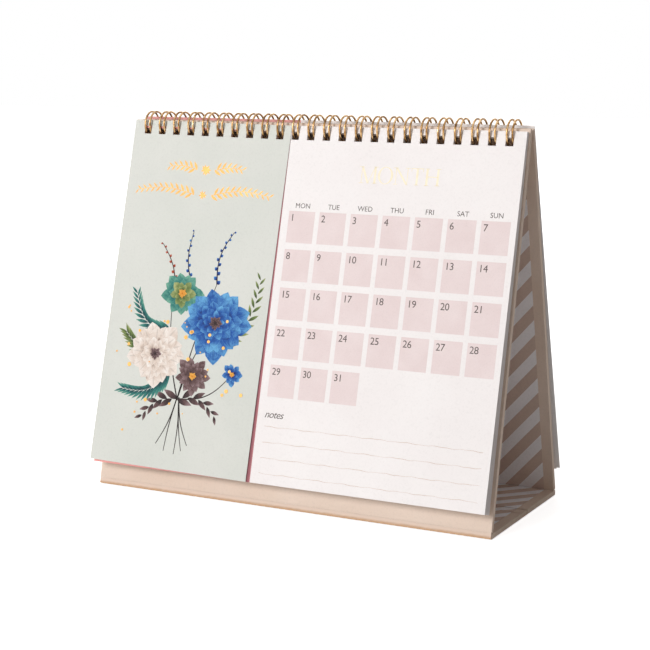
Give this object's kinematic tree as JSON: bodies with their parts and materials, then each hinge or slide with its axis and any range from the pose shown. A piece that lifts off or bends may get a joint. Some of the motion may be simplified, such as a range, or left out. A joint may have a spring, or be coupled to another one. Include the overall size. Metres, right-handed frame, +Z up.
{
  "type": "desk planner",
  "caption": "Folding tent-style desk planner: wrapped board easel with side-by-side flip cards and month pages on a twin-loop wire.",
  "frame": {"origin": "centre of the footprint of the whole part's bounding box, on the surface it stands on", "axes": "+X along the binding, to the right for someone reading the pages; +Y from the reading side to the back; +Z up"},
  "size_m": [0.2134, 0.0998, 0.1858],
  "materials": {
    "board": "grey bookbinding board, matt",
    "cover_paper": "nude wrapping paper, matt",
    "lining_paper": "diagonally striped lining paper, matt",
    "fold_paper": "wrapping paper bent round a fold, matt",
    "page_paper": "white uncoated paper",
    "sage_card": "pale sage printed card",
    "coral_card": "coral printed card",
    "wire": "satin antique gold coating"
  },
  "bodies": {
    "front_panel": {"front_board": "board", "front_cover_paper": "cover_paper", "front_lining": "lining_paper", "front_fold_strip": "fold_paper", "left_card_01": "coral_card", "left_card_02": "coral_card", "left_card_03": "coral_card", "left_card_04": "coral_card", "left_card_05": "coral_card", "left_card_06": "coral_card", "left_card_07": "coral_card", "left_card_08": "coral_card", "left_card_09": "coral_card", "right_page_01": "page_paper", "right_page_02": "page_paper", "right_page_03": "page_paper", "right_page_04": "page_paper", "right_page_05": "page_paper", "right_page_06": "page_paper", "right_page_07": "page_paper", "right_page_08": "page_paper", "right_page_09": "page_paper"},
    "back_panel": {"back_board": "board", "back_cover_paper": "cover_paper", "back_lining": "lining_paper", "twin_loop_wire": "wire", "turned_left_card_01": "coral_card", "turned_right_page_01": "page_paper"},
    "base_front": {"base_front_board": "board", "base_front_cover_paper": "cover_paper", "base_front_lining": "lining_paper"},
    "base_mid_fold": {"base_mid_fold_strip": "fold_paper"},
    "base_rear": {"base_rear_board": "board", "base_rear_cover_paper": "cover_paper", "base_rear_lining": "lining_paper", "back_fold_strip": "fold_paper"},
    "top_left_card": {"left_card_10": "sage_card"},
    "top_right_page": {"right_page_10": "page_paper"},
    "outer_turned_card": {"turned_left_card_02": "coral_card"},
    "outer_turned_page": {"turned_right_page_02": "page_paper"}
  },
  "joints": [
    {"name": "easel_fold", "type": "hinge", "parent": "front_panel", "child": "back_panel", "pos_m": [0, -0.00092, 0.17912], "axis": [1, 0, 0], "range_deg": [-25.2, 0]},
    {"name": "front_base_fold", "type": "hinge", "parent": "front_panel", "child": "base_front", "pos_m": [0, -0.04375, 0], "axis": [1, 0, 0], "range_deg": [-102.6, 0]},
    {"name": "mid_fold_front_edge", "type": "hinge", "parent": "base_front", "child": "base_mid_fold", "pos_m": [0, -0.00364, 0], "axis": [1, 0, 0], "range_deg": [0, 90]},
    {"name": "mid_fold_rear_edge", "type": "hinge", "parent": "base_mid_fold", "child": "base_rear", "pos_m": [0, 0.00257, 0], "axis": [1, 0, 0], "range_deg": [0, 90]},
    {"name": "left_card_turn", "type": "hinge", "parent": "front_panel", "child": "top_left_card", "pos_m": [0, -0.00092, 0.17912], "axis": [-1, 0, 0], "range_deg": [0, 122]},
    {"name": "right_page_turn", "type": "hinge", "parent": "front_panel", "child": "top_right_page", "pos_m": [0, -0.00092, 0.17912], "axis": [-1, 0, 0], "range_deg": [0, 122]},
    {"name": "turned_card_return", "type": "hinge", "parent": "back_panel", "child": "outer_turned_card", "pos_m": [0, -0.00092, 0.17912], "axis": [-1, 0, 0], "range_deg": [-124, 0]},
    {"name": "turned_page_return", "type": "hinge", "parent": "back_panel", "child": "outer_turned_page", "pos_m": [0, -0.00092, 0.17912], "axis": [-1, 0, 0], "range_deg": [-124, 0]}
  ],
  "couplings": [
    {"joint": "front_base_fold", "follows": "easel_fold", "ratio": 4.0714},
    {"joint": "mid_fold_front_edge", "follows": "easel_fold", "ratio": -3.5714},
    {"joint": "mid_fold_rear_edge", "follows": "easel_fold", "ratio": -3.5714}
  ]
}
